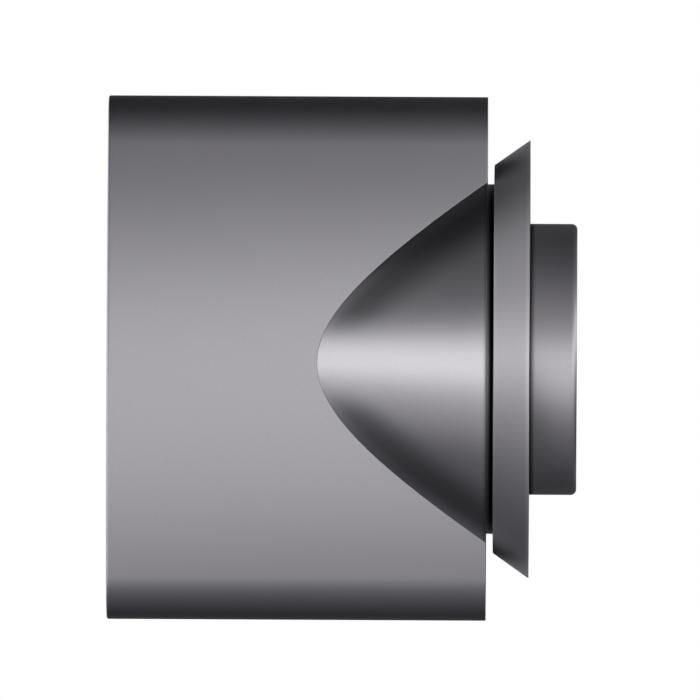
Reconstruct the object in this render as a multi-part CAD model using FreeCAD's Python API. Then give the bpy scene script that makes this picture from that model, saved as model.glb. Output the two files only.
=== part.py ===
# Hair dryer concentrator nozzle, in millimetres.
# It stands on the end of its spigot. Z is the nozzle's axis, and air leaves upwards through the slot.
# X runs along the slot, and Y across the thickness of the flat body.
import FreeCAD
import Part

import math
import os

from FreeCAD import Vector

# Spigot that goes into the dryer's bore
spigot_diameter = 48.2
spigot_length = 8.4
spigot_wall = 2.0
spigot_edge_round = 1.0
spigot_socket_depth = 0.8
cover_thickness = 1.6

# Bevelled flange that meets the dryer's front ring
flange_reach = 14.9
flange_bevel_run = 4.5
flange_rim_width = 2.6
flange_front_wall = 1.8
flange_edge_round = 0.25

# Magnets in the flange
magnet_diameter = 7.0
magnet_thickness = 3.0
magnet_count = 8
magnet_pocket_wall = 1.2

# Dark neck that shows in the gap between the flange and the body
neck_gap = 1.2
neck_tail_wall = 3.4
neck_boss_step = 3.0
neck_boss_wall = 2.0
neck_shoulder = 2.6

# Flat outer sleeve with crowned faces
sleeve_width = 93.2
sleeve_depth = 34.4
sleeve_end_radius = 11.5
sleeve_length = 67.4
sleeve_wall = 1.8
sleeve_edge_round = 0.6

# Air duct: a cone at the dryer's end that runs out into a flat fan
cone_half_angle = 30.0
duct_wall = 1.8
duct_rear_wall = 2.0
fan_start = 12.0
fan_rear_width = 44.0
fan_rear_height = 24.0
slot_height = 7.0
slot_wall = 1.5
slot_end_gap = 3.8
slot_recess = 2.0
slot_lip_round = 0.5

# Ribs on the fan that hold the sleeve off the duct
rib_thickness = 1.6
rib_length = 16.0
rib_setback = 1.5
rib_spacing = 56.0

# Gap left between pieces that fit into each other
fit_clearance = 0.1

# How far a cut runs past the face that it opens
overrun = 2.0

# Levels along the axis, from the end of the spigot
flange_thickness = cover_thickness + magnet_thickness + flange_front_wall
seat_level = spigot_length
socket_level = seat_level + spigot_socket_depth
cover_level = seat_level + cover_thickness
flange_level = seat_level + flange_thickness
body_level = flange_level + neck_gap
duct_floor_level = body_level + duct_rear_wall
outlet_level = body_level + sleeve_length
slot_level = outlet_level - slot_recess
fan_level = body_level + fan_start

# Radii that follow from the sizes above
spigot_radius = spigot_diameter / 2
airway_radius = spigot_radius - spigot_wall
tail_radius = airway_radius + neck_tail_wall
boss_radius = tail_radius + neck_boss_step
neck_radius = boss_radius + neck_shoulder
flange_rear_radius = spigot_radius + flange_reach
flange_front_radius = flange_rear_radius - flange_bevel_run
cover_radius = flange_rear_radius - flange_rim_width
cone_base_radius = flange_front_radius
cone_slope = math.tan(math.radians(cone_half_angle))
pocket_radius = magnet_diameter / 2 + fit_clearance
magnet_circle_radius = tail_radius + fit_clearance + magnet_pocket_wall + pocket_radius
slot_outer_width = sleeve_width - 2 * (sleeve_wall + slot_end_gap)
slot_outer_height = slot_height + 2 * slot_wall


def revolved(points):
    """A solid of revolution about Z from (radius, level) points of its half section."""
    corners = [Vector(radius, 0, level) for radius, level in points]
    outline = Part.makePolygon(corners + corners[:1])
    return Part.Face(outline).revolve(Vector(0, 0, 0), Vector(0, 0, 1), 360)


def rim(solid, radius, level):
    """The round edge of a solid of revolution at a radius and a level."""
    rounds = [edge for edge in solid.Edges if isinstance(edge.Curve, Part.Circle)]
    return [edge for edge in rounds if math.isclose(edge.Curve.Radius, radius)
            and math.isclose(edge.Curve.Center.z, level, abs_tol=1e-6)]


def top_edges(solid, level):
    """The edges that bound a solid's face at its top level."""
    return [edge for edge in solid.Edges if math.isclose(min(v.Z for v in edge.Vertexes), level)]


def oval_prism(inset, bottom, top):
    """The sleeve's crowned oval, taken in by inset, between two levels."""
    half_width = sleeve_width / 2 - inset
    half_depth = sleeve_depth / 2 - inset
    end_radius = sleeve_end_radius - inset
    end_centre = half_width - end_radius
    crown_radius = (end_centre**2 + half_depth**2 - end_radius**2) / (2 * (half_depth - end_radius))
    reach = end_radius / (crown_radius - end_radius)
    join_x = end_centre * (1 + reach)
    join_y = (crown_radius - half_depth) * reach
    corner = [Vector(x, y, bottom) for x, y in
              ((-join_x, join_y), (join_x, join_y), (join_x, -join_y), (-join_x, -join_y))]
    crown_front = Part.Arc(corner[0], Vector(0, half_depth, bottom), corner[1])
    right_end = Part.Arc(corner[1], Vector(half_width, 0, bottom), corner[2])
    crown_back = Part.Arc(corner[2], Vector(0, -half_depth, bottom), corner[3])
    left_end = Part.Arc(corner[3], Vector(-half_width, 0, bottom), corner[0])
    outline = Part.Wire([arc.toShape() for arc in (crown_front, right_end, crown_back, left_end)])
    return Part.Face(outline).extrude(Vector(0, 0, top - bottom))


def cone(inset, bottom):
    """The duct's cone taken in by inset along its normal, from a level up to near its tip."""
    shrink = inset / math.cos(math.radians(cone_half_angle))
    base_radius = cone_base_radius - shrink - (bottom - body_level) * cone_slope
    tip_radius = slot_height / 2 - shrink / 2
    height = (base_radius - tip_radius) / cone_slope
    return Part.makeCone(base_radius, tip_radius, height, Vector(0, 0, bottom))


def fan_outline(level, inset):
    """Round-ended section of the fan: wide and low at the slot, narrower and higher at the cone."""
    share = (level - fan_level) / (slot_level - fan_level)
    half_width = (fan_rear_width + share * (slot_outer_width - fan_rear_width)) / 2 - inset
    half_height = (fan_rear_height + share * (slot_outer_height - fan_rear_height)) / 2 - inset
    run = half_width - half_height
    corner = [Vector(x, y, level) for x, y in
              ((-run, half_height), (run, half_height), (run, -half_height), (-run, -half_height))]
    front = Part.LineSegment(corner[0], corner[1])
    right_end = Part.Arc(corner[1], Vector(half_width, 0, level), corner[2])
    back = Part.LineSegment(corner[2], corner[3])
    left_end = Part.Arc(corner[3], Vector(-half_width, 0, level), corner[0])
    return Part.Wire([edge.toShape() for edge in (front, right_end, back, left_end)])


def fan(inset, top):
    """The flat fan between the cone and the slot, taken in by inset."""
    return Part.makeLoft([fan_outline(fan_level, inset), fan_outline(top, inset)], True, True)


def spacer_ribs():
    """Upright ribs on both faces of the fan, cut to the inside of the sleeve."""
    bottom = slot_level - rib_setback - rib_length
    size = (rib_thickness, sleeve_depth, rib_length)
    ribs = []
    for side in (-1, 1):
        corner = Vector(side * rib_spacing / 2 - rib_thickness / 2, -sleeve_depth / 2, bottom)
        ribs.append(Part.makeBox(*size, corner))
    inside = oval_prism(sleeve_wall + fit_clearance, body_level, outlet_level)
    return [rib.common(inside) for rib in ribs]


def make_outer_sleeve():
    """Open flat sleeve whose two broad faces are cut away where the cone comes through them."""
    outer = oval_prism(0, body_level, outlet_level)
    outer = outer.makeFillet(sleeve_edge_round, top_edges(outer, outlet_level))
    hollow = outer.cut(oval_prism(sleeve_wall, body_level - overrun, outlet_level + overrun))
    return hollow.cut(cone(-fit_clearance, body_level))


def make_air_duct():
    """Cone and fan moulded as one, with the airway running from the neck to the slot."""
    outside = cone(0, body_level).multiFuse([fan(0, slot_level)] + spacer_ribs())
    mouth = Part.makeCylinder(boss_radius + fit_clearance, duct_rear_wall, Vector(0, 0, body_level))
    airway = [mouth, cone(duct_wall, duct_floor_level), fan(slot_wall, slot_level + overrun)]
    duct = outside.cut(airway).removeSplitter()
    return duct.makeFillet(slot_lip_round, top_edges(duct, slot_level))


def make_neck_ring():
    """Dark ring that joins the duct to the flange, with a bore that opens towards the cone."""
    return revolved([
        (airway_radius, cover_level),
        (tail_radius, cover_level),
        (tail_radius, flange_level),
        (neck_radius, flange_level),
        (neck_radius, body_level),
        (boss_radius, body_level),
        (boss_radius, duct_floor_level),
        (boss_radius - neck_boss_wall, duct_floor_level),
    ])


def magnet_places():
    """Centres of the magnets' rear faces, which lie on the rear cover."""
    first = Vector(magnet_circle_radius, 0, cover_level)
    turns = [FreeCAD.Rotation(Vector(0, 0, 1), 360 * place / magnet_count) for place in range(magnet_count)]
    return [turn.multVec(first) for turn in turns]


def make_flange_ring():
    """Bevelled ring with a rear recess for the cover and a pocket for each magnet."""
    ring = revolved([
        (tail_radius + fit_clearance, cover_level),
        (cover_radius + fit_clearance, cover_level),
        (cover_radius + fit_clearance, seat_level),
        (flange_rear_radius, seat_level),
        (flange_front_radius, flange_level),
        (tail_radius + fit_clearance, flange_level),
    ])
    rims = rim(ring, flange_rear_radius, seat_level) + rim(ring, flange_front_radius, flange_level)
    ring = ring.makeFillet(flange_edge_round, rims)
    pockets = [Part.makeCylinder(pocket_radius, magnet_thickness, place) for place in magnet_places()]
    return ring.cut(pockets)


def make_magnets():
    """Disc magnets, each in its own pocket of the flange."""
    return Part.makeCompound([
        Part.makeCylinder(magnet_diameter / 2, magnet_thickness, place) for place in magnet_places()
    ])


def make_rear_cover():
    """Flat ring that closes the flange flush from behind, with a countersunk socket for the spigot."""
    socket_radius = spigot_radius + fit_clearance
    return revolved([
        (socket_radius, seat_level),
        (cover_radius, seat_level),
        (cover_radius, cover_level),
        (airway_radius, cover_level),
        (airway_radius, socket_level),
        (socket_radius - spigot_socket_depth, socket_level),
    ])


def make_spigot():
    """Open tube for the dryer's bore, with a rounded free end and a tapered end in the rear cover."""
    spigot = revolved([
        (airway_radius, 0),
        (spigot_radius, 0),
        (spigot_radius, seat_level),
        (spigot_radius - spigot_socket_depth, socket_level),
        (airway_radius, socket_level),
    ])
    return spigot.makeFillet(spigot_edge_round, rim(spigot, spigot_radius, 0))


sub_parts = {
    "outer_sleeve": make_outer_sleeve,
    "air_duct": make_air_duct,
    "neck_ring": make_neck_ring,
    "flange_ring": make_flange_ring,
    "magnets": make_magnets,
    "rear_cover": make_rear_cover,
    "spigot": make_spigot,
}

os.makedirs("parts", exist_ok=True)
for name, make in sub_parts.items():
    shape = make()
    shape.exportStep(f"parts/{name}.step")
    print(name, "solids", len(shape.Solids), "valid", shape.isValid(), "volume", round(shape.Volume, 1))
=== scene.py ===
import math
import bmesh
import bpy
from mathutils import Matrix, Vector


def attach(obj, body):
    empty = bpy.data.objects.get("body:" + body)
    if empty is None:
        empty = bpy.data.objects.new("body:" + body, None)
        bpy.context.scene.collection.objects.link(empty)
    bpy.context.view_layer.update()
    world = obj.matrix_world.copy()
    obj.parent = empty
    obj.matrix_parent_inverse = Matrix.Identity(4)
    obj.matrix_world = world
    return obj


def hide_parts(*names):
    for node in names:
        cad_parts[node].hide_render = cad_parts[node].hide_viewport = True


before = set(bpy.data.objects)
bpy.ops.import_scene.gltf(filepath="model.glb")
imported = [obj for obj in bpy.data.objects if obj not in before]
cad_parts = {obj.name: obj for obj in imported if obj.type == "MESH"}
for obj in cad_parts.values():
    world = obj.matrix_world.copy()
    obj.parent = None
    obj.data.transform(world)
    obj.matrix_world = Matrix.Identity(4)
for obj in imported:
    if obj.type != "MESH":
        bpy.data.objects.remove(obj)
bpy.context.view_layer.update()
scene = bpy.context.scene
mm = 0.001  # the pieces' sizes are in mm
print("frame loaded:", sorted(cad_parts))

# heights along the nozzle's axis, as in the CAD
levels = {
    "seat": 8.4, "socket": 9.2, "cover": 10.0, "flange": 14.8, "body": 16.0,
    "ductFloor": 18.0, "fan": 28.0, "slot": 81.4, "outlet": 83.4,
}

# the duct's cone, which the sleeve is cut along
cone = {"baseRadius": 34.5, "tipRadius": 3.5, "halfAngle": 30.0, "wall": 1.8, "gap": 0.01}
coneSlope = math.tan(math.radians(cone["halfAngle"]))
coneLean = math.cos(math.radians(cone["halfAngle"]))

# cleaning and shading of the meshes, angles in degrees
meshing = {"weld": 0.002, "sharpAngle": 32.0, "maskBendFrom": 3.0, "maskBendFull": 11.0}


# mesh helpers

def roundProfile(corners, arcSteps):
    # corners are (u, v, radius); a radius turns the corner into an arc
    points = []
    for place, (u, v, radius) in enumerate(corners):
        here = Vector((u, v))
        if not radius:
            points.append(here)
            continue
        back = (Vector(corners[place - 1][:2]) - here).normalized()
        ahead = (Vector(corners[(place + 1) % len(corners)][:2]) - here).normalized()
        half = back.angle(ahead) / 2
        centre = here + (back + ahead).normalized() * radius / math.sin(half)
        start = here + back * radius / math.tan(half) - centre
        end = here + ahead * radius / math.tan(half) - centre
        sweep = start.angle(end)
        for step in range(arcSteps + 1):
            share = step / arcSteps
            spoke = start * math.sin((1 - share) * sweep) + end * math.sin(share * sweep)
            points.append(centre + spoke / math.sin(sweep))
    return points


def spread(first, last, rows, hold=0.0):
    # points between two ends, without the ends; hold adds a point that close to each end
    points = [first.lerp(last, row / rows) for row in range(1, rows)]
    if hold:
        near = hold / (last - first).length
        points = [first.lerp(last, near)] + points + [last.lerp(first, near)]
    return points


def ringMesh(name, columns):
    # quads that close round both ways, from columns of equal length
    build = bmesh.new()
    verts = [[build.verts.new(Vector(point) * mm) for point in column] for column in columns]
    for here, there in zip(verts, verts[1:] + verts[:1]):
        for row in range(len(here)):
            build.faces.new((here[row - 1], here[row], there[row], there[row - 1]))
    return toObject(name, build)


def stackMesh(name, rings):
    # a solid through closed rings of equal length, capped at both ends
    build = bmesh.new()
    verts = [[build.verts.new(Vector(point) * mm) for point in ring] for ring in rings]
    for low, high in zip(verts, verts[1:]):
        for place in range(len(low)):
            build.faces.new((low[place - 1], low[place], high[place], high[place - 1]))
    build.faces.new(list(reversed(verts[0])))
    build.faces.new(verts[-1])
    return toObject(name, build)


def toObject(name, build):
    bmesh.ops.recalc_face_normals(build, faces=build.faces)
    mesh = bpy.data.meshes.new(name)
    build.to_mesh(mesh)
    build.free()
    made = bpy.data.objects.new(name, mesh)
    scene.collection.objects.link(made)
    return made


def spunMesh(name, profile, turns):
    # a closed (radius, height) profile turned about the axis
    columns = []
    for turn in range(turns):
        angle = 2 * math.pi * turn / turns
        columns.append([(p.x * math.cos(angle), p.x * math.sin(angle), p.y) for p in profile])
    return ringMesh(name, columns)


def discRings(stations, turns, middle=(0.0, 0.0)):
    # rings for stackMesh from (radius, height) stations
    x, y = middle
    rings = []
    for radius, height in stations:
        ring = []
        for turn in range(turns):
            angle = 2 * math.pi * turn / turns
            ring.append((x + radius * math.cos(angle), y + radius * math.sin(angle), height))
        rings.append(ring)
    return rings


def carve(base, others):
    # joins to or cuts from base with exact booleans, then drops the helpers
    for operation, other in others:
        step = base.modifiers.new(operation.lower(), "BOOLEAN")
        step.operation = operation
        step.solver = "EXACT"
        step.object = other
    bpy.context.view_layer.update()
    depsgraph = bpy.context.evaluated_depsgraph_get()
    carved = bpy.data.meshes.new_from_object(base.evaluated_get(depsgraph))
    base.modifiers.clear()
    base.data = carved
    for _, other in others:
        bpy.data.objects.remove(other)
    clean = bmesh.new()
    clean.from_mesh(carved)
    bmesh.ops.remove_doubles(clean, verts=clean.verts, dist=meshing["weld"] * mm)
    bmesh.ops.dissolve_degenerate(clean, edges=clean.edges, dist=meshing["weld"] * mm)
    bmesh.ops.triangulate(clean, faces=[face for face in clean.faces if len(face.verts) > 4])
    clean.to_mesh(carved)
    clean.free()
    return base


def dress(made, node, slotName, *materials, maskedFrom=0.0):
    # smooth shading, the edge mask for edge wear and painted edge highlight, materials, and the CAD
    # node it stands for
    mesh = made.data
    work = bmesh.new()
    work.from_mesh(mesh)
    mask = [0.0] * len(work.verts)
    maskBendSpan = meshing["maskBendFull"] - meshing["maskBendFrom"]
    for edge in work.edges:
        bend = math.degrees(edge.calc_face_angle_signed(0))
        edgeShare = min(1.0, max(0.0, (bend - meshing["maskBendFrom"]) / maskBendSpan))
        for vert in edge.verts:
            if vert.co.z >= maskedFrom * mm:
                mask[vert.index] = max(mask[vert.index], edgeShare)
    work.free()
    edgeMask = mesh.attributes.new("edgeMask", "FLOAT", "POINT")
    edgeMask.data.foreach_set("value", mask)
    mesh.shade_smooth()
    mesh.set_sharp_from_angle(angle=math.radians(meshing["sharpAngle"]))
    for material in materials:
        mesh.materials.append(material)
    normals = made.modifiers.new("evenNormals", "WEIGHTED_NORMAL")
    normals.keep_sharp = True
    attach(made, "root")
    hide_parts(node)
    print("piece", made.name, "for", node, len(mesh.polygons), "faces")
    return made


# shader helpers

numberSocket, colourSocket, vectorSocket = "NodeSocketFloat", "NodeSocketColor", "NodeSocketVector"


def newGroup(name, inputs, outputs):
    group = bpy.data.node_groups.new(name, "ShaderNodeTree")
    for socketName, kind, value in inputs:
        socket = group.interface.new_socket(socketName, in_out="INPUT", socket_type=kind)
        socket.default_value = value
    for socketName, kind in outputs:
        group.interface.new_socket(socketName, in_out="OUTPUT", socket_type=kind)
    return group, group.nodes.new("NodeGroupInput"), group.nodes.new("NodeGroupOutput")


def addNode(tree, kind, settings=None, **values):
    node = tree.nodes.new(kind)
    for key, value in (settings or {}).items():
        setattr(node, key, value)
    for key, value in values.items():
        node.inputs[key.replace("_", " ")].default_value = value
    return node


def useGroup(tree, group, **values):
    return addNode(tree, "ShaderNodeGroup", {"node_tree": group}, **values)


def plug(tree, value, socket):
    # a number is set, an output is linked
    if isinstance(value, (int, float)):
        socket.default_value = value
    else:
        tree.links.new(value, socket)


def mathNode(tree, operation, *values):
    node = addNode(tree, "ShaderNodeMath", {"operation": operation})
    for place, value in enumerate(values):
        plug(tree, value, node.inputs[place])
    return node.outputs[0]


def ranged(tree, value, fromMin, fromMax, toMin=0.0, toMax=1.0, kind="SMOOTHSTEP"):
    node = addNode(tree, "ShaderNodeMapRange", {"interpolation_type": kind})
    plug(tree, value, node.inputs["Value"])
    plug(tree, fromMin, node.inputs["From Min"])
    plug(tree, fromMax, node.inputs["From Max"])
    plug(tree, toMin, node.inputs["To Min"])
    plug(tree, toMax, node.inputs["To Max"])
    return node.outputs[0]


def scaled(tree, vector, factor):
    node = addNode(tree, "ShaderNodeVectorMath", {"operation": "SCALE"})
    tree.links.new(vector, node.inputs[0])
    plug(tree, factor, node.inputs["Scale"])
    return node.outputs[0]


def normalized(tree, vector):
    node = addNode(tree, "ShaderNodeVectorMath", {"operation": "NORMALIZE"})
    tree.links.new(vector, node.inputs[0])
    return node.outputs[0]


def axesOf(tree, vector):
    # the X, Y and Z outputs of a vector
    node = addNode(tree, "ShaderNodeSeparateXYZ")
    tree.links.new(vector, node.inputs[0])
    return node.outputs


def placeIn(tree, unit):
    # object coordinates counted in steps of a unit in mm
    coords = addNode(tree, "ShaderNodeTexCoord")
    return scaled(tree, coords.outputs["Object"], mathNode(tree, "DIVIDE", 1 / mm, unit))


def noise(tree, size, detail, roughness):
    node = addNode(tree, "ShaderNodeTexNoise", Scale=1.0, Detail=detail, Roughness=roughness)
    tree.links.new(placeIn(tree, size), node.inputs["Vector"])
    return node.outputs[0]


def centred(tree, value):
    # a value of 0 to 1 moved to run from -0.5 to 0.5
    return mathNode(tree, "SUBTRACT", value, 0.5)


def tinted(tree, shown, mask, colour):
    mix = addNode(tree, "ShaderNodeMix", {"data_type": "RGBA"})
    mix.inputs["B"].default_value = (*colour, 1)
    tree.links.new(mask, mix.inputs["Factor"])
    tree.links.new(shown, mix.inputs["A"])
    return mix.outputs["Result"]


# shader groups

def makeFlakeGroup():
    # fine metallic flake and a slow drift of tone
    tree, inside, outside = newGroup(
        "metalFlake",
        [("Paint", colourSocket, (0.4, 0.4, 0.4, 1)),
         ("Flake Size", numberSocket, 0.14), ("Flake Depth", numberSocket, 0.1),
         ("Drift Size", numberSocket, 22.0), ("Drift Depth", numberSocket, 0.05),
         ("Sheen", numberSocket, 0.4), ("Sheen Spread", numberSocket, 0.05)],
        [("Color", colourSocket), ("Roughness", numberSocket)])
    given = inside.outputs
    flakes = addNode(tree, "ShaderNodeTexVoronoi", {"feature": "F1"}, Scale=1.0)
    tree.links.new(placeIn(tree, given["Flake Size"]), flakes.inputs["Vector"])
    tones = addNode(tree, "ShaderNodeSeparateColor")
    tree.links.new(flakes.outputs["Color"], tones.inputs[0])
    drift = centred(tree, noise(tree, given["Drift Size"], detail=3.0, roughness=0.55))
    sparkle = mathNode(tree, "MULTIPLY", centred(tree, tones.outputs[0]), given["Flake Depth"])
    change = mathNode(tree, "MULTIPLY_ADD", drift, given["Drift Depth"], sparkle)
    tone = mathNode(tree, "ADD", change, 1.0)
    tree.links.new(scaled(tree, given["Paint"], tone), outside.inputs["Color"])
    uneven = mathNode(tree, "ADD", centred(tree, tones.outputs[1]), drift)
    sheen = mathNode(tree, "MULTIPLY_ADD", uneven, given["Sheen Spread"], given["Sheen"])
    tree.links.new(sheen, outside.inputs["Roughness"])
    return tree


def makeGrainGroup():
    # soft unevenness of a sprayed or moulded skin, as a height
    tree, inside, outside = newGroup(
        "skinGrain",
        [("Grain Size", numberSocket, 1.2),
         ("Fine Size", numberSocket, 0.2), ("Fine Share", numberSocket, 0.2)],
        [("Height", numberSocket)])
    given = inside.outputs
    slow = noise(tree, given["Grain Size"], detail=1.5, roughness=0.4)
    fine = noise(tree, given["Fine Size"], detail=2.0, roughness=0.6)
    height = mathNode(tree, "MULTIPLY_ADD", fine, given["Fine Share"], slow)
    tree.links.new(height, outside.inputs["Height"])
    return tree


def makeEdgeWearAndHighlightGroup():
    # lighter edges, broken up by noise: wear from handling on most pieces, painted highlight along
    # the flange's rims
    tree, inside, outside = newGroup(
        "edgeWearAndHighlight",
        [("Amount", numberSocket, 0.3),
         ("Patch Size", numberSocket, 3.0), ("Even", numberSocket, 0.0)],
        [("Mask", numberSocket)])
    given = inside.outputs
    edges = addNode(tree, "ShaderNodeAttribute", {"attribute_name": "edgeMask"})
    patches = noise(tree, given["Patch Size"], detail=4.0, roughness=0.6)
    broken = ranged(tree, patches, fromMin=0.35, fromMax=0.7)
    left = mathNode(tree, "MAXIMUM", broken, given["Even"])
    edgeShare = mathNode(tree, "MULTIPLY", edges.outputs["Fac"], left)
    tree.links.new(mathNode(tree, "MULTIPLY", edgeShare, given["Amount"]), outside.inputs["Mask"])
    return tree


def makeJointShadingGroup():
    # a mask that gathers towards a joint at one height along the axis: painted shade at the cone's
    # rim and the spigot's ends, painted light on the neck's wall
    tree, inside, outside = newGroup(
        "jointPaintedShading",
        [("Joint", numberSocket, 0.0), ("Reach", numberSocket, 1.0), ("Depth", numberSocket, 0.8)],
        [("Mask", numberSocket)])
    given = inside.outputs
    height = axesOf(tree, placeIn(tree, 1.0))["Z"]
    off = mathNode(tree, "ABSOLUTE", mathNode(tree, "SUBTRACT", height, given["Joint"]))
    near = ranged(tree, off, 0.0, given["Reach"], 1.0, 0.0)
    tree.links.new(mathNode(tree, "MULTIPLY", near, given["Depth"]), outside.inputs["Mask"])
    return tree


def makeCreaseShadeGroup():
    # painted shade beside the cut where the cone leaves the crowned sleeve, clear round the cone's
    # tip
    tree, inside, outside = newGroup(
        "creaseShade",
        [("Crown Radius", numberSocket, 122.0), ("Crown Set Back", numberSocket, 105.0),
         ("Root Radius", numberSocket, 34.5), ("Root Level", numberSocket, 16.0),
         ("Slope", numberSocket, 0.577), ("Depth", numberSocket, 0.5),
         ("Full", numberSocket, 4.5), ("Gone", numberSocket, 12.0),
         ("Rim", numberSocket, 3.0), ("Rim Depth", numberSocket, 0.2),
         ("Tip Clear", numberSocket, 4.0), ("Tip Full", numberSocket, 10.0)],
        [("Mask", numberSocket)])
    given = inside.outputs
    axes = axesOf(tree, placeIn(tree, 1.0))
    aside = mathNode(tree, "ABSOLUTE", axes["X"])
    rise = mathNode(tree, "SUBTRACT", axes["Z"], given["Root Level"])
    narrowed = mathNode(tree, "MULTIPLY", rise, given["Slope"])
    radius = mathNode(tree, "SUBTRACT", given["Root Radius"], narrowed)
    # the crown's circle and the cone's circle at this height meet this far aside
    setBack = given["Crown Set Back"]
    crownSquare = mathNode(tree, "POWER", given["Crown Radius"], 2.0)
    squares = mathNode(tree, "ADD", crownSquare, mathNode(tree, "POWER", setBack, 2.0))
    squares = mathNode(tree, "SUBTRACT", squares, mathNode(tree, "POWER", radius, 2.0))
    across = mathNode(tree, "DIVIDE", squares, mathNode(tree, "MULTIPLY", setBack, 2.0))
    meetSquare = mathNode(tree, "SUBTRACT", crownSquare, mathNode(tree, "POWER", across, 2.0))
    meet = mathNode(tree, "SQRT", mathNode(tree, "MAXIMUM", meetSquare, 0.0))
    inward = mathNode(tree, "SUBTRACT", meet, aside)
    near = ranged(tree, inward, given["Full"], given["Gone"], 1.0, 0.0)
    # the painted shade is lighter again right at the cut
    depth = ranged(tree, inward, 0.0, given["Rim"], given["Rim Depth"], given["Depth"])
    beside = ranged(tree, aside, given["Tip Clear"], given["Tip Full"])
    shade = mathNode(tree, "MULTIPLY", mathNode(tree, "MULTIPLY", near, beside), depth)
    tree.links.new(shade, outside.inputs["Mask"])
    return tree


def makeBendGroup():
    # shrinks the normal's parts between two heights, so that a form shades flatter than it is
    tree, inside, outside = newGroup(
        "normalBend",
        [("Normal", vectorSocket, (0, 0, 1)), ("Keep", vectorSocket, (1, 1, 1)),
         ("Start", numberSocket, 16.0), ("Full", numberSocket, 46.0)],
        [("Normal", vectorSocket)])
    given = inside.outputs
    height = axesOf(tree, placeIn(tree, 1.0))["Z"]
    along = ranged(tree, height, given["Start"], given["Full"], kind="LINEAR")
    shrink = addNode(tree, "ShaderNodeMix", {"data_type": "VECTOR"})
    shrink.inputs["A"].default_value = (1, 1, 1)
    tree.links.new(along, shrink.inputs["Factor"])
    tree.links.new(given["Keep"], shrink.inputs["B"])
    bent = addNode(tree, "ShaderNodeVectorMath", {"operation": "MULTIPLY"})
    tree.links.new(given["Normal"], bent.inputs[0])
    tree.links.new(shrink.outputs["Result"], bent.inputs[1])
    tree.links.new(normalized(tree, bent.outputs[0]), outside.inputs["Normal"])
    return tree


flakeGroup = makeFlakeGroup()
grainGroup = makeGrainGroup()
edgeWearAndHighlightGroup = makeEdgeWearAndHighlightGroup()
jointShadingGroup = makeJointShadingGroup()
creaseShadeGroup = makeCreaseShadeGroup()
bendGroup = makeBendGroup()
print("shader groups built")


def finish(name, look):
    material = bpy.data.materials.new(name)
    material.use_nodes = True
    tree = material.node_tree
    skin = tree.nodes["Principled BSDF"]
    skin.inputs["Metallic"].default_value = look["metallic"]
    skin.inputs["Specular IOR Level"].default_value = look.get("gloss", 0.5)
    skin.inputs["Specular Tint"].default_value = (*look.get("edgeTint", (1, 1, 1)), 1)
    paint = useGroup(
        tree, flakeGroup, Paint=(*look["colour"], 1),
        Flake_Size=look["flakeSize"], Flake_Depth=look["flakeDepth"],
        Drift_Size=look["driftSize"], Drift_Depth=look["driftDepth"],
        Sheen=look["roughness"], Sheen_Spread=look["roughSpread"])
    # lighter edges: wear on most pieces, painted highlight on the flange
    wearAndHighlight = useGroup(
        tree, edgeWearAndHighlightGroup, Amount=look["wearAndHighlight"],
        Patch_Size=look["wearAndHighlightSize"], Even=look.get("wearAndHighlightEven", 0.0))
    shown = tinted(tree, paint.outputs["Color"], wearAndHighlight.outputs["Mask"], look["wearAndHighlightColour"])
    # painted shade, and on the neck painted light, gathered towards joints along the axis
    for jointTone in look.get("paintedShading", ()):
        shade = useGroup(
            tree, jointShadingGroup, Joint=jointTone["joint"], Reach=jointTone["reach"], Depth=jointTone["depth"])
        shown = tinted(tree, shown, shade.outputs["Mask"], jointTone["colour"])
    # painted shade beside the cut where the cone leaves the sleeve
    if "paintedCreaseShade" in look:
        paintedCreaseShade = look["paintedCreaseShade"]
        shade = useGroup(
            tree, creaseShadeGroup, Crown_Radius=paintedCreaseShade["crown"], Crown_Set_Back=paintedCreaseShade["setBack"],
            Root_Radius=cone["baseRadius"], Root_Level=levels["body"], Slope=coneSlope,
            Full=paintedCreaseShade["full"], Gone=paintedCreaseShade["gone"], Depth=paintedCreaseShade["depth"],
            Rim=paintedCreaseShade["rim"], Rim_Depth=paintedCreaseShade["rimDepth"],
            Tip_Clear=paintedCreaseShade["tipClear"], Tip_Full=paintedCreaseShade["tipFull"])
        shown = tinted(tree, shown, shade.outputs["Mask"], paintedCreaseShade["colour"])
    tree.links.new(shown, skin.inputs["Base Color"])
    tree.links.new(paint.outputs["Roughness"], skin.inputs["Roughness"])
    grain = useGroup(
        tree, grainGroup, Grain_Size=look["grainSize"],
        Fine_Size=look["fineSize"], Fine_Share=look["fineShare"])
    bump = addNode(tree, "ShaderNodeBump", Strength=look["bump"], Distance=look["bumpHeight"] * mm)
    tree.links.new(grain.outputs["Height"], bump.inputs["Height"])
    if "bend" in look:
        bend = look["bend"]
        faces = addNode(tree, "ShaderNodeNewGeometry")
        bent = useGroup(tree, bendGroup, Start=bend["start"], Full=bend["full"], Keep=bend["keep"])
        tree.links.new(faces.outputs["Normal"], bent.inputs["Normal"])
        tree.links.new(bent.outputs["Normal"], bump.inputs["Normal"])
    tree.links.new(bump.outputs["Normal"], skin.inputs["Normal"])
    return material


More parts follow.
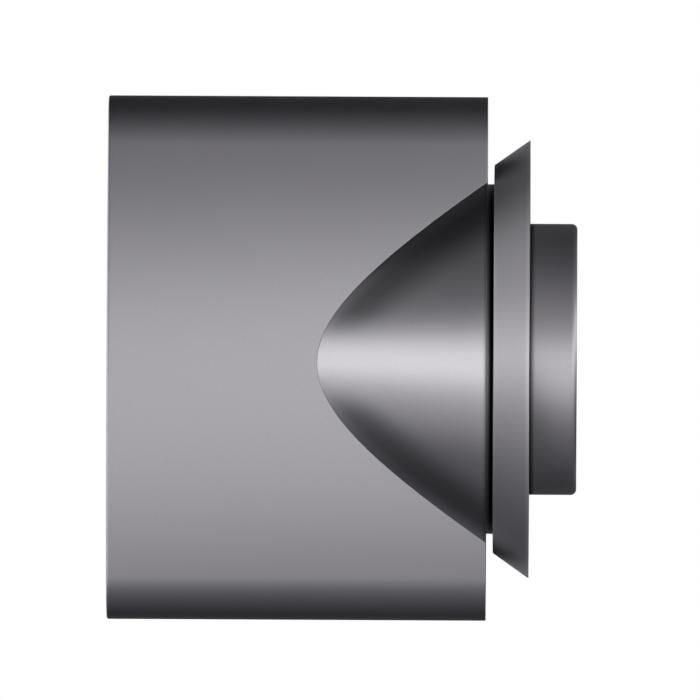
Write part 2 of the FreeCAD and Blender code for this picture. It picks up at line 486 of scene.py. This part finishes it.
# satin metallic paint and black plastic, which the pieces' own looks start from
paintLook = {
    "colour": (0.432, 0.426, 0.447), "edgeTint": (0.25, 0.25, 0.26),
    "metallic": 1.0, "roughness": 0.36, "roughSpread": 0.03,
    "flakeSize": 0.16, "flakeDepth": 0.06, "driftSize": 26.0, "driftDepth": 0.04,
    "wearAndHighlight": 0.08, "wearAndHighlightSize": 2.5, "wearAndHighlightColour": (0.62, 0.62, 0.63),
    "grainSize": 1.6, "fineSize": 0.22, "fineShare": 0.12, "bump": 0.2, "bumpHeight": 0.012,
}
plasticLook = {
    "colour": (0.035, 0.035, 0.037), "metallic": 0.0, "roughness": 0.5, "roughSpread": 0.08,
    "flakeSize": 0.3, "flakeDepth": 0.12, "driftSize": 18.0, "driftDepth": 0.2,
    "wearAndHighlight": 0.3, "wearAndHighlightSize": 2.0, "wearAndHighlightColour": (0.09, 0.09, 0.09),
    "grainSize": 0.5, "fineSize": 0.15, "fineShare": 0.5, "bump": 0.35, "bumpHeight": 0.03,
}
bodyPaint = finish("bodyPaint", paintLook)
ductPlastic = finish("ductPlastic", plasticLook)
print("shared finishes built")


# outer sleeve: crowned oval wall, cut along the cone

sleeve = {
    "width": 93.2, "depth": 34.4, "endRadius": 11.5, "wall": 1.8,
    "frontRound": 0.35, "innerRound": 0.35, "rearRound": 0.04, "hold": 0.12,
    "crownSteps": 150, "endSteps": 60, "outerRows": 40, "innerRows": 20, "arcSteps": 5,
}


def ovalCrown():
    # centre of a round end, crown radius, and the lean of the normal where they meet
    endCentre = sleeve["width"] / 2 - sleeve["endRadius"]
    halfDepth = sleeve["depth"] / 2
    squares = endCentre**2 + halfDepth**2 - sleeve["endRadius"]**2
    crownRadius = squares / (2 * (halfDepth - sleeve["endRadius"]))
    return endCentre, crownRadius, math.asin(endCentre / (crownRadius - sleeve["endRadius"]))


endCentre, crownRadius, crownLean = ovalCrown()
crownSetBack = crownRadius - sleeve["depth"] / 2  # from the axis back to the crown's own centre


def ovalPoint(turn, inset):
    # point of the oval whose outward normal makes this turn from +Y towards +X
    turn %= 2 * math.pi
    normal = Vector((math.sin(turn), math.cos(turn)))
    if turn <= crownLean or turn >= 2 * math.pi - crownLean:
        centre, radius = Vector((0, -crownSetBack)), crownRadius
    elif turn < math.pi - crownLean:
        centre, radius = Vector((endCentre, 0)), sleeve["endRadius"]
    elif turn <= math.pi + crownLean:
        centre, radius = Vector((0, crownSetBack)), crownRadius
    else:
        centre, radius = Vector((-endCentre, 0)), sleeve["endRadius"]
    return centre + normal * (radius - inset)


cutRadius = cone["baseRadius"] + cone["gap"] / coneLean


def rearHeight(turn, inset):
    # where the wall ends: at the body's rear edge or on the cone
    onCone = levels["body"] + (cutRadius - ovalPoint(turn, inset).length) / coneSlope
    return max(levels["body"], onCone)


def cutTurn(inset):
    # turn at which the cut along the cone runs out into the rear edge, found by halving
    low, high = 0.0, crownLean
    for _ in range(50):
        middle = (low + high) / 2
        if ovalPoint(middle, inset).length < cutRadius:
            low = middle
        else:
            high = middle
    return low


def sleeveTurns():
    # even steps round the oval, and the four corners of the cut, outside and inside
    arcs = [
        (-crownLean, crownLean, sleeve["crownSteps"]),
        (crownLean, math.pi - crownLean, sleeve["endSteps"]),
        (math.pi - crownLean, math.pi + crownLean, sleeve["crownSteps"]),
        (math.pi + crownLean, 2 * math.pi - crownLean, sleeve["endSteps"]),
    ]
    turns = []
    for start, end, steps in arcs:
        turns += [start + (end - start) * step / steps for step in range(steps)]
    for inset in (0, sleeve["wall"]):
        turn = cutTurn(inset)
        turns += [-turn, turn, math.pi - turn, math.pi + turn]
    return sorted(turns)


def makeSleeve():
    arc = sleeve["arcSteps"] + 1
    columns = []
    for turn in sleeveTurns():
        corners = [
            (0, rearHeight(turn, 0), sleeve["rearRound"]),
            (0, levels["outlet"], sleeve["frontRound"]),
            (sleeve["wall"], levels["outlet"], sleeve["innerRound"]),
            (sleeve["wall"], rearHeight(turn, sleeve["wall"]), sleeve["rearRound"]),
        ]
        p = roundProfile(corners, sleeve["arcSteps"])
        outer = spread(p[arc - 1], p[arc], sleeve["outerRows"], sleeve["hold"])
        inner = spread(p[3 * arc - 1], p[3 * arc], sleeve["innerRows"], sleeve["hold"])
        profile = p[:arc] + outer + p[arc:3 * arc] + inner + p[3 * arc:]
        columns.append([(*ovalPoint(turn, point.x), point.y) for point in profile])
    return ringMesh("sleeveShell", columns)


dress(makeSleeve(), "outer_sleeve", "body_grey", bodyPaint)


# air duct: cone, fan and ribs in one moulding; only the cone's outside is painted

duct = {
    "mouthRadius": 28.6, "baseRound": 0.1, "baseSteps": 8, "turns": 240, "coneRows": 56,
    "fanRearWidth": 44.0, "fanRearHeight": 24.0, "fanRows": 30, "runSteps": 60, "endSteps": 32,
    "slotWidth": 82.0, "slotHeight": 10.0, "slotWall": 1.5, "lipRound": 0.6, "lipSteps": 6,
    "ribThick": 1.6, "ribLength": 16.0, "ribSetback": 1.5, "ribSpacing": 56.0, "ribSteps": 6,
    "overrun": 1.0, "paintNear": 0.12, "paintFacing": 0.9,
}
coneLook = {
    **paintLook, "edgeTint": (0.9, 0.9, 0.92), "roughness": 0.31, "wearAndHighlight": 0.0,
    # painted shade: dark towards the cone's rim at the body, and beside the cut where it leaves the
    # sleeve
    "paintedShading": [
        {"joint": levels["body"], "reach": 0.75, "depth": 0.5, "colour": (0.02, 0.02, 0.021)}],
    "paintedCreaseShade": {
        "crown": crownRadius, "setBack": crownSetBack, "full": 4.6, "gone": 12.4,
        "rim": 3.4, "rimDepth": 0.2, "tipClear": 3.8, "tipFull": 10.0,
        "depth": 0.54, "colour": (0.02, 0.0197, 0.0206)},
    "bend": {"start": 20.0, "full": 46.0, "keep": (0.65, 1, 1)},
}


def fanRing(height, inset, squeeze=0.0):
    share = (height - levels["fan"]) / (levels["slot"] - levels["fan"])
    width = duct["fanRearWidth"] + share * (duct["slotWidth"] - duct["fanRearWidth"])
    depth = duct["fanRearHeight"] + share * (duct["slotHeight"] - duct["fanRearHeight"])
    halfWidth = width / 2 - inset - squeeze
    halfDepth = depth / 2 - inset - squeeze
    run = halfWidth - halfDepth
    ring = []
    for side in (1, -1):
        for step in range(duct["runSteps"]):
            along = -run + 2 * run * step / duct["runSteps"]
            ring.append((side * along, side * halfDepth, height))
        for step in range(duct["endSteps"]):
            turn = math.pi * step / duct["endSteps"]
            along = run + halfDepth * math.sin(turn)
            ring.append((side * along, side * halfDepth * math.cos(turn), height))
    return ring


def fanSolid(name, inset, flare):
    # flare -1 rounds the lip inwards, 1 opens the mouth
    top = levels["slot"] - duct["lipRound"]
    rings = []
    for row in range(duct["fanRows"] + 1):
        climb = (top - levels["fan"]) * row / duct["fanRows"]
        rings.append(fanRing(levels["fan"] + climb, inset))
    for step in range(1, duct["lipSteps"] + 1):
        turn = math.pi / 2 * step / duct["lipSteps"]
        squeeze = -flare * duct["lipRound"] * (1 - math.cos(turn))
        rings.append(fanRing(top + duct["lipRound"] * math.sin(turn), inset, squeeze))
    if flare > 0:
        rings.append([(x, y, z + duct["overrun"]) for x, y, z in rings[-1]])
    return stackMesh(name, rings)


def coneSolid(name, inset, bottom, baseRound):
    shrink = inset / coneLean
    base = cone["baseRadius"] - shrink - (bottom - levels["body"]) * coneSlope
    tipRadius = cone["tipRadius"] - shrink / 2
    tip = Vector((tipRadius, bottom + (base - tipRadius) / coneSlope))
    edge = [Vector((base, bottom))]
    if baseRound:
        corners = [(0, bottom, 0), (base, bottom, baseRound), (*tip, 0)]
        edge = roundProfile(corners, duct["baseSteps"])[1:-1]
    stations = edge + spread(edge[-1], tip, duct["coneRows"]) + [tip]
    return stackMesh(name, discRings(stations, duct["turns"]))


def ribSolid(name, side):
    # a rib across the whole sleeve, its ends bent to the sleeve's inside
    inner = crownRadius - sleeve["wall"] - cone["gap"]
    reach = []
    for step in range(duct["ribSteps"] + 1):
        x = side * duct["ribSpacing"] / 2 + duct["ribThick"] * (step / duct["ribSteps"] - 0.5)
        reach.append((x, math.sqrt(inner**2 - x**2) - crownSetBack))
    outline = reach + [(x, -y) for x, y in reversed(reach)]
    bottom = levels["slot"] - duct["ribSetback"] - duct["ribLength"]
    top = bottom + duct["ribLength"]
    return stackMesh(name, [[(x, y, z) for x, y in outline] for z in (bottom, top)])


def mouthSolid(name):
    low = levels["body"] - duct["overrun"]
    high = levels["ductFloor"] + duct["overrun"] / 2
    stations = [(duct["mouthRadius"], low), (duct["mouthRadius"], high)]
    return stackMesh(name, discRings(stations, duct["turns"]))


def makeDuct():
    return carve(coneSolid("airDuct", 0, levels["body"], duct["baseRound"]), [
        ("UNION", fanSolid("fanOutside", 0, -1)),
        ("UNION", ribSolid("ribRight", 1)),
        ("UNION", ribSolid("ribLeft", -1)),
        ("DIFFERENCE", coneSolid("coneInside", cone["wall"], levels["ductFloor"], 0)),
        ("DIFFERENCE", fanSolid("fanInside", duct["slotWall"], 1)),
        ("DIFFERENCE", mouthSolid("mouth")),
    ])


def isPainted(face):
    # on the cone's outside, or on the flat ring under it
    centre = face.center / mm
    outward = Vector((centre.x, centre.y, 0)).normalized() + Vector((0, 0, coneSlope))
    coneRadius = cone["baseRadius"] - (centre.z - levels["body"]) * coneSlope
    near = abs(math.hypot(centre.x, centre.y) - coneRadius) < duct["paintNear"]
    facing = face.normal.dot(outward.normalized()) > duct["paintFacing"]
    return (near and facing) or centre.z < levels["body"] + duct["baseRound"]


lipFrom = levels["slot"] - duct["overrun"]
conePaint = finish("conePaint", coneLook)
airDuct = dress(makeDuct(), "air_duct", "body_grey", conePaint, ductPlastic, maskedFrom=lipFrom)
for face in airDuct.data.polygons:
    face.material_index = 0 if isPainted(face) else 1


# neck ring: black; on the wall that shows in the gap, painted light, a grey metallic band fading to
# black away from the body, stands for the cone's rim shading off

neck = {
    "bore": 22.1, "tail": 25.5, "wall": 31.1, "boss": 28.5, "bossBore": 26.5,
    "edge": 0.2, "edgeSteps": 4, "turns": 192,
}
neckLook = {
    **plasticLook, "colour": (0.004, 0.004, 0.004), "gloss": 0.15, "roughness": 0.75,
    "wearAndHighlightColour": (0.04, 0.04, 0.04),
}
# the wall seen in the gap carries painted light: grey metal at the body's level, fading to black
# within the reach
neckPaintedLightLook = {
    **neckLook, "metallic": 1.0, "roughness": 0.42, "wearAndHighlight": 0.0,
    "paintedShading": [{"joint": levels["body"], "reach": 0.75, "depth": 1.0, "colour": (0.3, 0.3, 0.31)}],
}
neckProfile = roundProfile([
    (neck["bore"], levels["cover"], 0), (neck["tail"], levels["cover"], 0),
    (neck["tail"], levels["flange"], 0), (neck["wall"], levels["flange"], 0),
    (neck["wall"], levels["body"], 0), (neck["boss"], levels["body"], 0),
    (neck["boss"], levels["ductFloor"], neck["edge"]),
    (neck["bossBore"], levels["ductFloor"], neck["edge"]),
], neck["edgeSteps"])
neckPlastic = finish("neckPlastic", neckLook)
neckPaintedLight = finish("neckPaintedLight", neckPaintedLightLook)
neckMesh = spunMesh("neckRing", neckProfile, neck["turns"])
neckRing = dress(neckMesh, "neck_ring", "neck_black", neckPlastic, neckPaintedLight)
for face in neckRing.data.polygons:
    onWall = math.hypot(face.center.x, face.center.y) > (neck["wall"] - neck["edge"]) * mm
    face.material_index = 1 if onWall else 0


# flange ring: bevelled, with a recess for the cover and a pocket for each magnet

flange = {
    "rear": 39.0, "front": 34.5, "bore": 25.6, "recess": 36.5,
    "edge": 0.07, "frontEdge": 0.4, "edgeSteps": 5, "rows": 8, "turns": 256,
    "magnets": 8, "magnetCircle": 30.4,
    "pocket": 3.6, "pocketDepth": 3.0, "pocketTurns": 48, "overrun": 0.8,
}
flangeLook = {
    **paintLook, "colour": (0.4, 0.393, 0.415), "edgeTint": (0.9, 0.9, 0.92),
    "metallic": 0.95, "roughness": 0.375,
    # its strong, even light edges are painted highlight along the flange's rims, broken a little
    # like wear
    "wearAndHighlight": 0.7, "wearAndHighlightEven": 0.75, "wearAndHighlightSize": 9.0, "wearAndHighlightColour": (0.62, 0.61, 0.63),
}


def makeFlange():
    corners = [
        (flange["bore"], levels["flange"], 0), (flange["bore"], levels["cover"], 0),
        (flange["recess"], levels["cover"], 0), (flange["recess"], levels["seat"], 0),
        (flange["rear"], levels["seat"], flange["edge"]),
        (flange["front"], levels["flange"], flange["frontEdge"]),
    ]
    profile = roundProfile(corners, flange["edgeSteps"])
    bevel = len(corners) - 2 + flange["edgeSteps"] + 1  # the bevel's rows come before this point
    profile[bevel:bevel] = spread(profile[bevel - 1], profile[bevel], flange["rows"])
    ring = spunMesh("flangeRing", profile, flange["turns"])
    bottom = levels["cover"] - flange["overrun"]
    top = levels["cover"] + flange["pocketDepth"]
    stations = [(flange["pocket"], bottom), (flange["pocket"], top)]
    pockets = []
    for place in range(flange["magnets"]):
        turn = 2 * math.pi * place / flange["magnets"]
        middle = (flange["magnetCircle"] * math.cos(turn), flange["magnetCircle"] * math.sin(turn))
        rings = discRings(stations, flange["pocketTurns"], middle)
        pockets.append(("DIFFERENCE", stackMesh("pocket" + str(place), rings)))
    return carve(ring, pockets)


dress(makeFlange(), "flange_ring", "body_grey", finish("flangePaint", flangeLook))


# rear cover: flat ring over the magnets

cover = {
    "outer": 36.4, "socket": 24.2, "taper": 0.8, "bore": 22.1,
    "edge": 0.12, "edgeSteps": 4, "turns": 224,
}
coverLook = {**plasticLook, "colour": (0.045, 0.045, 0.047), "roughness": 0.55}
coverProfile = roundProfile([
    (cover["socket"], levels["seat"], 0), (cover["outer"], levels["seat"], cover["edge"]),
    (cover["outer"], levels["cover"], 0), (cover["bore"], levels["cover"], 0),
    (cover["bore"], levels["socket"], 0), (cover["socket"] - cover["taper"], levels["socket"], 0),
], cover["edgeSteps"])
coverMesh = spunMesh("rearCover", coverProfile, cover["turns"])
dress(coverMesh, "rear_cover", "spigot_grey", finish("coverPlastic", coverLook))


# spigot: open tube whose rounded end shades like its wall

spigot = {
    "outer": 24.1, "taper": 0.8, "bore": 22.1,
    "endRound": 1.0, "innerRound": 0.4, "edgeSteps": 8, "turns": 224,
}
spigotLook = {
    # this grey is lighter than the sleeve's paint: painted light that makes up for the light the
    # flange keeps off the spigot
    **paintLook, "colour": (0.55, 0.54, 0.567), "edgeTint": (0.2, 0.2, 0.21),
    "metallic": 0.95, "roughness": 0.38, "flakeDepth": 0.04,
    # painted shade: dark at the root, where the flange shades the spigot, and a little at the free
    # end's rounded rim to damp its reflection
    "paintedShading": [
        {"joint": levels["seat"], "reach": 1.15, "depth": 0.93, "colour": (0.012, 0.012, 0.013)},
        {"joint": 0.0, "reach": 0.6, "depth": 0.3, "colour": (0.05, 0.05, 0.052)}],
    "bend": {"start": 1.1, "full": 0.95, "keep": (1, 1, 0.2)},
}
spigotProfile = roundProfile([
    (spigot["bore"], 0, spigot["innerRound"]), (spigot["outer"], 0, spigot["endRound"]),
    (spigot["outer"], levels["seat"], 0), (spigot["outer"] - spigot["taper"], levels["socket"], 0),
    (spigot["bore"], levels["socket"], 0),
], spigot["edgeSteps"])
spigotMesh = spunMesh("spigotTube", spigotProfile, spigot["turns"])
dress(spigotMesh, "spigot", "spigot_grey", finish("spigotPaint", spigotLook))


# magnets: the CAD's own discs with a plated finish

magnetLook = {
    "colour": (0.56, 0.55, 0.53), "metallic": 1.0, "roughness": 0.3, "roughSpread": 0.06,
    "flakeSize": 0.1, "flakeDepth": 0.08, "driftSize": 4.0, "driftDepth": 0.1,
    "wearAndHighlight": 0.4, "wearAndHighlightSize": 1.0, "wearAndHighlightColour": (0.4, 0.38, 0.36),
    "grainSize": 0.4, "fineSize": 0.1, "fineShare": 0.4, "bump": 0.2, "bumpHeight": 0.01,
}
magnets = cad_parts["magnets"]
magnets.data.materials.clear()
magnets.data.materials.append(finish("magnetPlating", magnetLook))
print("pieces built")


# studio: pale floor, white surroundings, soft lamps, and a light tent for the reflections
# its sizes are in metres

studio = {
    "roomLight": 0.55, "floorWhite": 0.95, "floorGlow": 0.72,
    "floorNear": 0.03, "floorFar": 0.12, "floorSize": 40.0, "floorDrop": 0.00005,
}

# camera: far off, level with the floor, on its side as in the photograph, a little round to +X
# field, centre and eye are in mm
shot = {
    "lens": 1500.0, "sensor": 36.0, "field": 124.5, "centre": (1.51, 40.35), "eye": 0.6,
    "tilt": 0.29, "turn": 2.6, "clip": (0.1, 60.0),
}


def bareMaterial(name):
    material = bpy.data.materials.new(name)
    material.use_nodes = True
    material.node_tree.nodes.clear()
    return material, material.node_tree


def blended(tree, factor, first, second):
    mix = addNode(tree, "ShaderNodeMixShader")
    tree.links.new(factor, mix.inputs[0])
    tree.links.new(first.outputs[0], mix.inputs[1])
    tree.links.new(second.outputs[0], mix.inputs[2])
    return mix


def seenDirectly(tree):
    # 1 for camera, glossy and transmission rays
    path = addNode(tree, "ShaderNodeLightPath")
    seen = mathNode(tree, "MAXIMUM", path.outputs["Is Camera Ray"], path.outputs["Is Glossy Ray"])
    return mathNode(tree, "MAXIMUM", seen, path.outputs["Is Transmission Ray"])


def makeFloor():
    material, tree = bareMaterial("paleFloor")
    matt = addNode(tree, "ShaderNodeBsdfDiffuse", Color=(studio["floorWhite"],) * 3 + (1,))
    glow = addNode(tree, "ShaderNodeEmission", Color=(1, 1, 1, 1), Strength=1.0)
    # the floor runs out into pure white away from the object
    coords = addNode(tree, "ShaderNodeTexCoord")
    away = addNode(tree, "ShaderNodeVectorMath", {"operation": "LENGTH"})
    tree.links.new(coords.outputs["Object"], away.inputs[0])
    near, far = studio["floorNear"], studio["floorFar"]
    fade = ranged(tree, away.outputs["Value"], near, far, studio["floorGlow"], 1.0)
    white = blended(tree, mathNode(tree, "MULTIPLY", seenDirectly(tree), fade), matt, glow)
    # open from below, so that the underside can be looked at
    side = addNode(tree, "ShaderNodeNewGeometry")
    clear = addNode(tree, "ShaderNodeBsdfTransparent")
    oneSided = blended(tree, side.outputs["Backfacing"], white, clear)
    out = addNode(tree, "ShaderNodeOutputMaterial")
    tree.links.new(oneSided.outputs[0], out.inputs["Surface"])
    half = studio["floorSize"] / 2
    build = bmesh.new()
    corners = ((-half, -half), (half, -half), (half, half), (-half, half))
    build.faces.new([build.verts.new((x, y, -studio["floorDrop"])) for x, y in corners])
    floor = toObject("floor", build)
    floor.data.materials.append(material)
    floor.visible_glossy = False


# what reflections see
# band: light by degrees round from the camera's side, bright in front and dark at the sides
# lean and rise: how far round the band is moved and how bright it is, by height from -1 to 1
# back and rear: light on the far side, below a height
# softbox and ceiling: light above the camera and above the object
tent = {
    "radius": 3.0, "middle": 0.045,
    "shadeTint": (0.97, 0.95, 1.06), "lightTint": (1.0, 0.99, 1.0),
    "band": [
        (-180, 0.018), (-135, 0.017), (-110, 0.027), (-84, 0.084), (-60, 0.15), (-41, 0.19),
        (-30, 0.37), (-21, 0.74), (-11, 0.91), (0, 1.19), (11, 1.55), (21, 0.78), (30, 0.27),
        (41, 0.19), (60, 0.2), (84, 0.09), (110, 0.022), (135, 0.017), (180, 0.02)],
    "rise": [
        (-1.0, 0.96), (-0.75, 1.4), (-0.5, 1.6), (-0.12, 1.25),
        (0.1, 0.75), (0.3, 1.02), (1.0, 0.85)],
    "lean": [
        (-1.0, 29), (-0.45, 30), (-0.25, 0), (-0.12, -8), (-0.03, -9), (0.06, -14), (0.2, -36),
        (0.45, -36), (0.62, -31), (0.78, -38), (0.86, -18), (0.92, 27), (1.0, 40)],
    "leanSpan": 90.0,
    "back": {"from": 88.0, "full": 130.0, "light": 0.5, "low": -0.4, "high": -0.14},
    "rear": {"from": 128.0, "full": 172.0, "light": 0.3, "low": 0.6, "high": 0.9},
    "softbox": {
        "aim": -1.0, "inner": 9.0, "outer": 30.0, "light": 1.58,
        "foot": (0.45, 0.8), "head": (0.88, 0.97)},
    "ceiling": {"aim": (0.11, 0.29, 0.95), "inner": 29.0, "outer": 35.0, "light": 1.54},
}


def lightRamp(tree, value, stops):
    node = addNode(tree, "ShaderNodeValToRGB")
    ramp = node.color_ramp
    ramp.interpolation = "EASE"
    for place, light in stops[1:-1]:
        ramp.elements.new(place).color = (light, light, light, 1)
    for end in (0, -1):
        ramp.elements[end].color = (stops[end][1],) * 3 + (1,)
    tree.links.new(value, node.inputs[0])
    return node.outputs[0]


def frontBand(tree, turn, z):
    # ramps run from 0 to 1, so heights, degrees and leans are brought to that first
    height = mathNode(tree, "MULTIPLY_ADD", z, 0.5, 0.5)
    span = tent["leanSpan"]
    leanStops = [(level / 2 + 0.5, lean / span + 0.5) for level, lean in tent["lean"]]
    lean = lightRamp(tree, height, leanStops)
    aside = mathNode(tree, "MULTIPLY_ADD", lean, -math.radians(span), math.radians(span) / 2)
    off = mathNode(tree, "MULTIPLY_ADD", mathNode(tree, "ADD", turn, aside), 0.5 / math.pi, 0.5)
    band = lightRamp(tree, off, [(degrees / 360 + 0.5, light) for degrees, light in tent["band"]])
    rise = lightRamp(tree, height, [(level / 2 + 0.5, light) for level, light in tent["rise"]])
    return mathNode(tree, "MULTIPLY", band, rise)


def farPanel(tree, turn, z, panel):
    start, full = math.radians(panel["from"]), math.radians(panel["full"])
    behind = ranged(tree, mathNode(tree, "ABSOLUTE", turn), start, full, 0.0, panel["light"])
    below = ranged(tree, z, panel["low"], panel["high"], 1.0, 0.0)
    return mathNode(tree, "MULTIPLY", behind, below)


def softboxPanel(tree, turn, z, panel):
    off = mathNode(tree, "ABSOLUTE", mathNode(tree, "SUBTRACT", turn, math.radians(panel["aim"])))
    inner, outer = math.radians(panel["inner"]), math.radians(panel["outer"])
    core = ranged(tree, off, inner, outer, panel["light"], 0.0)
    foot = ranged(tree, z, *panel["foot"])
    head = ranged(tree, z, *panel["head"], 1.0, 0.0)
    return mathNode(tree, "MULTIPLY", core, mathNode(tree, "MULTIPLY", foot, head))


def roundPanel(tree, aim, panel):
    towards = addNode(tree, "ShaderNodeVectorMath", {"operation": "DOT_PRODUCT"})
    tree.links.new(aim, towards.inputs[0])
    towards.inputs[1].default_value = Vector(panel["aim"]).normalized()
    edge, full = math.cos(math.radians(panel["outer"])), math.cos(math.radians(panel["inner"]))
    return ranged(tree, towards.outputs["Value"], edge, full, 0.0, panel["light"])


def makeTent():
    material, tree = bareMaterial("lightTent")
    coords = addNode(tree, "ShaderNodeTexCoord")
    aim = normalized(tree, coords.outputs["Object"])
    x, y, z = axesOf(tree, aim)
    turn = mathNode(tree, "ARCTAN2", x, mathNode(tree, "MULTIPLY", y, -1.0))
    lit = frontBand(tree, turn, z)
    lit = mathNode(tree, "ADD", lit, farPanel(tree, turn, z, tent["back"]))
    lit = mathNode(tree, "ADD", lit, farPanel(tree, turn, z, tent["rear"]))
    lit = mathNode(tree, "ADD", lit, softboxPanel(tree, turn, z, tent["softbox"]))
    lit = mathNode(tree, "MAXIMUM", lit, roundPanel(tree, aim, tent["ceiling"]))
    tint = addNode(tree, "ShaderNodeMix", {"data_type": "RGBA"})
    tint.inputs["A"].default_value = (*tent["shadeTint"], 1)
    tint.inputs["B"].default_value = (*tent["lightTint"], 1)
    tree.links.new(lit, tint.inputs["Factor"])
    glow = addNode(tree, "ShaderNodeEmission")
    tree.links.new(tint.outputs["Result"], glow.inputs["Color"])
    tree.links.new(lit, glow.inputs["Strength"])
    out = addNode(tree, "ShaderNodeOutputMaterial")
    tree.links.new(glow.outputs[0], out.inputs["Surface"])
    material.cycles.emission_sampling = "NONE"
    build = bmesh.new()
    bmesh.ops.create_icosphere(build, subdivisions=5, radius=tent["radius"])
    dome = toObject("lightTent", build)
    dome.data.materials.append(material)
    dome.location.z = tent["middle"]
    dome.rotation_euler.z = math.radians(shot["turn"])
    # only glossy rays see it
    for ray in ("camera", "diffuse", "transmission", "volume_scatter", "shadow"):
        setattr(dome, "visible_" + ray, False)


def makeWorld():
    world = bpy.data.worlds.new("whiteRoom")
    scene.world = world
    world.use_nodes = True
    tree = world.node_tree
    tree.nodes.clear()
    room = addNode(tree, "ShaderNodeBackground", Color=(1, 1, 1, 1), Strength=studio["roomLight"])
    white = addNode(tree, "ShaderNodeBackground", Color=(1, 1, 1, 1), Strength=1.0)
    out = addNode(tree, "ShaderNodeOutputWorld")
    tree.links.new(blended(tree, seenDirectly(tree), room, white).outputs[0], out.inputs["Surface"])
    world.cycles.sampling_method = "NONE"


lamps = {
    "overhead": {"place": (0, -0.25, 1.3), "size": (0.9, 0.9), "power": 9.0},
    "front": {"place": (0, -1.5, 0.9), "size": (0.4, 0.9), "power": 3.0},
    "back": {"place": (0, 1.5, 0.9), "size": (0.4, 0.9), "power": 3.0},
}
lampAim = Vector((0, 0, 0.04))


def makeLamps():
    for name, setting in lamps.items():
        light = bpy.data.lights.new(name, "AREA")
        light.shape = "RECTANGLE"
        light.size, light.size_y = setting["size"]
        light.energy = setting["power"]
        lamp = bpy.data.objects.new(name, light)
        lamp.location = setting["place"]
        lamp.rotation_euler = (lampAim - lamp.location).to_track_quat("-Z", "Y").to_euler()
        lamp.visible_camera = False
        lamp.visible_glossy = False
        scene.collection.objects.link(lamp)


makeFloor()
makeTent()
makeWorld()
makeLamps()
scene.view_settings.view_transform = "Standard"
print("studio built")


def makeCamera():
    data = bpy.data.cameras.new("camera")
    data.lens = shot["lens"]
    data.sensor_width = shot["sensor"]
    data.clip_start, data.clip_end = shot["clip"]
    camera = bpy.data.objects.new("camera", data)
    centreX, centreZ = shot["centre"]
    distance = shot["field"] * shot["lens"] / shot["sensor"]
    turn = math.radians(shot["turn"])
    drop = (shot["eye"] - centreZ) / distance
    back = Vector((math.sin(turn), -math.cos(turn), drop)).normalized()
    level = Vector((0, 0, 1)).cross(back).normalized()
    up = Matrix.Rotation(math.radians(shot["tilt"]), 3, back) @ level
    right = up.cross(back)
    camera.matrix_world = Matrix((right, up, back)).transposed().to_4x4()
    camera.location = (Vector((centreX, 0, centreZ)) + back * distance) * mm
    scene.collection.objects.link(camera)
    scene.camera = camera


makeCamera()
print("camera set")
